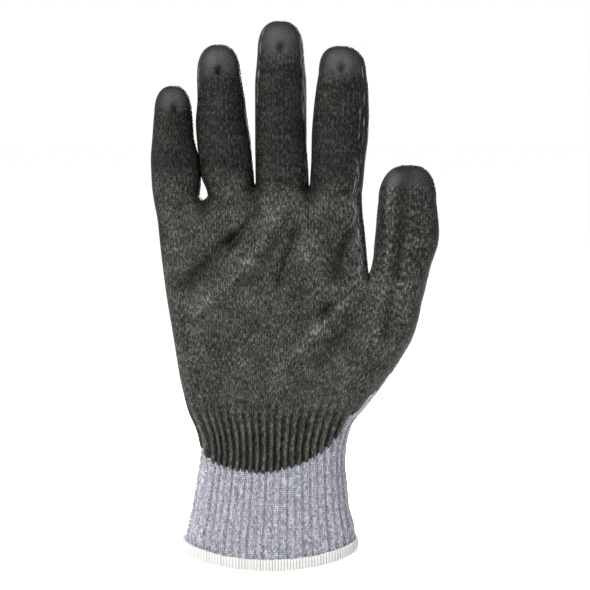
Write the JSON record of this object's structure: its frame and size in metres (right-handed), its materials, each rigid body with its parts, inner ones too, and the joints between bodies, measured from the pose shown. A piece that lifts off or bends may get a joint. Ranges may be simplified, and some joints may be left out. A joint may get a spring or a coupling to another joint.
{
  "type": "cut resistant glove",
  "caption": "Right-hand knitted work glove with a thin dark coat over the palm and fingers, a ribbed elastic cuff and a white overlocked hem; fingers, thumb and wrist bend.",
  "frame": {"origin": "middle of the cuff's mouth, level with the hem's lowest point", "axes": "+Z from the cuff to the fingertips, +X towards the thumb, -Y out of the palm"},
  "size_m": [0.1302, 0.0512, 0.25],
  "materials": {
    "liner": "blue-grey melange knit with fine ribs",
    "coat": "semi-matte polyurethane film that shows the knit",
    "cuff": "melange rib knit",
    "elastic": "covered rubber thread",
    "hem": "white overlocking thread"
  },
  "bodies": {
    "cuff": {"cuff_rib": "cuff", "cuff_elastic": "elastic", "hem_overlock": "hem", "crease_wrist": "cuff"},
    "palm": {"liner_palm": "liner", "coat_palm": "coat", "crease_little_knuckle": "coat", "crease_ring_knuckle": "coat", "crease_middle_knuckle": "coat", "crease_index_knuckle": "coat", "crease_thumb_base": "coat"},
    "little_proximal": {"liner_little_proximal": "liner", "coat_little_proximal": "coat", "crease_little_middle": "coat"},
    "little_middle": {"liner_little_middle": "liner", "coat_little_middle": "coat", "crease_little_end": "coat"},
    "little_distal": {"liner_little_distal": "liner", "coat_little_distal": "coat"},
    "ring_proximal": {"liner_ring_proximal": "liner", "coat_ring_proximal": "coat", "crease_ring_middle": "coat"},
    "ring_middle": {"liner_ring_middle": "liner", "coat_ring_middle": "coat", "crease_ring_end": "coat"},
    "ring_distal": {"liner_ring_distal": "liner", "coat_ring_distal": "coat"},
    "middle_proximal": {"liner_middle_proximal": "liner", "coat_middle_proximal": "coat", "crease_middle_middle": "coat"},
    "middle_middle": {"liner_middle_middle": "liner", "coat_middle_middle": "coat", "crease_middle_end": "coat"},
    "middle_distal": {"liner_middle_distal": "liner", "coat_middle_distal": "coat"},
    "index_proximal": {"liner_index_proximal": "liner", "coat_index_proximal": "coat", "crease_index_middle": "coat"},
    "index_middle": {"liner_index_middle": "liner", "coat_index_middle": "coat", "crease_index_end": "coat"},
    "index_distal": {"liner_index_distal": "liner", "coat_index_distal": "coat"},
    "thumb_base": {"liner_thumb_base": "liner", "coat_thumb_base": "coat", "crease_thumb_knuckle": "coat"},
    "thumb_proximal": {"liner_thumb_proximal": "liner", "coat_thumb_proximal": "coat", "crease_thumb_end": "coat"},
    "thumb_distal": {"liner_thumb_distal": "liner", "coat_thumb_distal": "coat"}
  },
  "joints": [
    {"name": "wrist_flex", "type": "hinge", "parent": "cuff", "child": "palm", "pos_m": [0.001, 0, 0.056], "axis": [1, 0, 0], "range_deg": [-30, 30], "stiffness_Nm_per_rad": 0.4, "deforming": ["crease_wrist"]},
    {"name": "little_knuckle_flex", "type": "hinge", "parent": "palm", "child": "little_proximal", "pos_m": [-0.0425, 0, 0.169], "axis": [1, 0, 0], "range_deg": [0, 75], "stiffness_Nm_per_rad": 0.03, "deforming": ["crease_little_knuckle"]},
    {"name": "little_middle_flex", "type": "hinge", "parent": "little_proximal", "child": "little_middle", "pos_m": [-0.0434, 0, 0.189], "axis": [1, 0, 0], "range_deg": [0, 76], "stiffness_Nm_per_rad": 0.03, "deforming": ["crease_little_middle"]},
    {"name": "little_end_flex", "type": "hinge", "parent": "little_middle", "child": "little_distal", "pos_m": [-0.0439, 0, 0.204], "axis": [1, 0, 0], "range_deg": [0, 47.12], "stiffness_Nm_per_rad": 0.02, "deforming": ["crease_little_end"]},
    {"name": "ring_knuckle_flex", "type": "hinge", "parent": "palm", "child": "ring_proximal", "pos_m": [-0.0185, 0, 0.172], "axis": [1, 0, 0], "range_deg": [0, 75], "stiffness_Nm_per_rad": 0.03, "deforming": ["crease_ring_knuckle"]},
    {"name": "ring_middle_flex", "type": "hinge", "parent": "ring_proximal", "child": "ring_middle", "pos_m": [-0.0206, 0, 0.192], "axis": [1, 0, 0], "range_deg": [0, 76], "stiffness_Nm_per_rad": 0.03, "deforming": ["crease_ring_middle"]},
    {"name": "ring_end_flex", "type": "hinge", "parent": "ring_middle", "child": "ring_distal", "pos_m": [-0.0222, 0, 0.214], "axis": [1, 0, 0], "range_deg": [0, 47.12], "stiffness_Nm_per_rad": 0.02, "deforming": ["crease_ring_end"]},
    {"name": "middle_knuckle_flex", "type": "hinge", "parent": "palm", "child": "middle_proximal", "pos_m": [0.0054, 0, 0.174], "axis": [1, 0, 0], "range_deg": [0, 75], "stiffness_Nm_per_rad": 0.03, "deforming": ["crease_middle_knuckle"]},
    {"name": "middle_middle_flex", "type": "hinge", "parent": "middle_proximal", "child": "middle_middle", "pos_m": [0.0049, 0, 0.2], "axis": [1, 0, 0], "range_deg": [0, 76], "stiffness_Nm_per_rad": 0.03, "deforming": ["crease_middle_middle"]},
    {"name": "middle_end_flex", "type": "hinge", "parent": "middle_middle", "child": "middle_distal", "pos_m": [0.0048, 0, 0.226], "axis": [1, 0, 0], "range_deg": [0, 47.12], "stiffness_Nm_per_rad": 0.02, "deforming": ["crease_middle_end"]},
    {"name": "index_knuckle_flex", "type": "hinge", "parent": "palm", "child": "index_proximal", "pos_m": [0.03, 0, 0.174], "axis": [1, 0, 0], "range_deg": [0, 75], "stiffness_Nm_per_rad": 0.03, "deforming": ["crease_index_knuckle"]},
    {"name": "index_middle_flex", "type": "hinge", "parent": "index_proximal", "child": "index_middle", "pos_m": [0.0313, 0, 0.197], "axis": [1, 0, 0], "range_deg": [0, 76], "stiffness_Nm_per_rad": 0.03, "deforming": ["crease_index_middle"]},
    {"name": "index_end_flex", "type": "hinge", "parent": "index_middle", "child": "index_distal", "pos_m": [0.0325, 0, 0.218], "axis": [1, 0, 0], "range_deg": [0, 47.12], "stiffness_Nm_per_rad": 0.02, "deforming": ["crease_index_end"]},
    {"name": "thumb_base_swing", "type": "hinge", "parent": "palm", "child": "thumb_base", "pos_m": [0.045, 0, 0.105], "axis": [0, 0, 1], "range_deg": [-35, 0], "stiffness_Nm_per_rad": 0.04, "deforming": ["crease_thumb_base"]},
    {"name": "thumb_knuckle_flex", "type": "hinge", "parent": "thumb_base", "child": "thumb_proximal", "pos_m": [0.0595, 0, 0.139], "axis": [-1, 0, 0], "range_deg": [-40, 0], "stiffness_Nm_per_rad": 0.03, "deforming": ["crease_thumb_knuckle"]},
    {"name": "thumb_end_flex", "type": "hinge", "parent": "thumb_proximal", "child": "thumb_distal", "pos_m": [0.062, 0, 0.157], "axis": [-1, 0, 0], "range_deg": [-60, 0], "stiffness_Nm_per_rad": 0.03, "deforming": ["crease_thumb_end"]}
  ],
  "couplings": [
    {"joint": "little_end_flex", "follows": "little_middle_flex", "ratio": 0.62},
    {"joint": "ring_end_flex", "follows": "ring_middle_flex", "ratio": 0.62},
    {"joint": "middle_end_flex", "follows": "middle_middle_flex", "ratio": 0.62},
    {"joint": "index_end_flex", "follows": "index_middle_flex", "ratio": 0.62}
  ]
}
